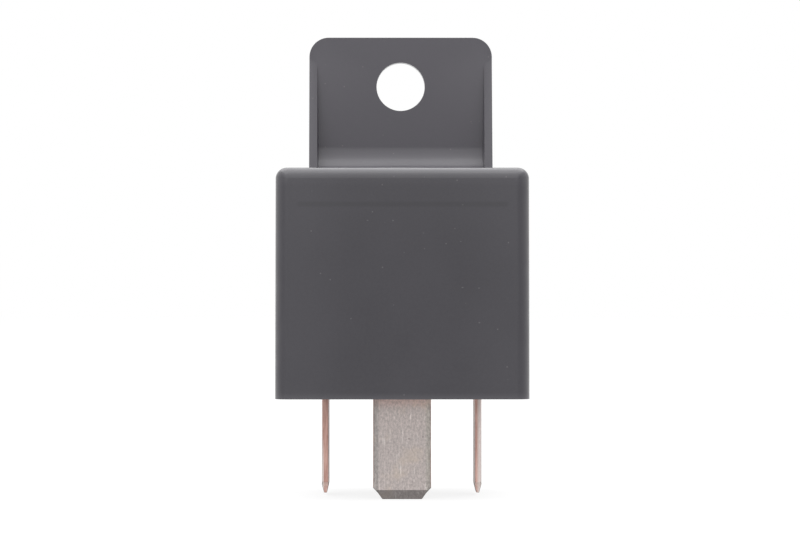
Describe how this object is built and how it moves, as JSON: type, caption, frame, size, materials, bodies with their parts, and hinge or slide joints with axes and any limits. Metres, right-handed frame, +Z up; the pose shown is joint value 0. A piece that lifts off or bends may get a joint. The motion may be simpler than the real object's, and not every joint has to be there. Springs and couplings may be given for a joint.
{
  "type": "automotive relay",
  "caption": "Plug-in change-over relay in a square moulded plastic cover, with flat blade terminals below and a mounting tab with a screw hole above.",
  "frame": {"origin": "on the seating face (underside of the base plate and the cover's rim), in the middle of the cover", "axes": "+Z up from the seating face towards the mounting tab, blades hang along -Z; -Y is the front, where terminal 87 is; +Y is the rear, where the tab rises; +X is to the right seen from the front"},
  "size_m": [0.0274, 0.0274, 0.0514],
  "materials": {
    "cover_plastic": "satin dark grey moulded plastic",
    "base_plastic": "matt black moulded plastic",
    "tinned_copper": "matt tin plating over copper, bare at the sheared edges",
    "steel": "bright zinc-plated iron",
    "rivets": "satin steel",
    "bobbin_plastic": "natural nylon",
    "enamelled_wire": "enamelled copper wire",
    "solder": "bright solder",
    "spring_bronze": "rolled phosphor bronze",
    "contact_silver": "silver alloy"
  },
  "bodies": {
    "housing": {"cover": "cover_plastic", "base": "base_plastic", "terminal_30": "tinned_copper", "terminal_85": "tinned_copper", "terminal_86": "tinned_copper", "terminal_87": "tinned_copper", "terminal_87a": "tinned_copper", "yoke": "steel", "core": "steel", "bobbin": "bobbin_plastic", "winding": "enamelled_wire", "coil_lead_85": "enamelled_wire", "coil_lead_86": "enamelled_wire", "solder_joint_85": "solder", "solder_joint_86": "solder", "yoke_rivets": "rivets", "contact_87": "contact_silver", "contact_87a": "contact_silver"},
    "armature": {"armature": "steel", "contact_spring": "spring_bronze", "armature_rivets": "rivets", "moving_contact": "contact_silver"}
  },
  "joints": [
    {"name": "armature_hinge", "type": "hinge", "parent": "housing", "child": "armature", "pos_m": [0, 0.0094, 0.01821], "axis": [1, 0, 0], "range_deg": [0, 2.1], "stiffness_Nm_per_rad": 0.05, "springref_deg": -5.73, "deforming": ["contact_spring"]}
  ]
}
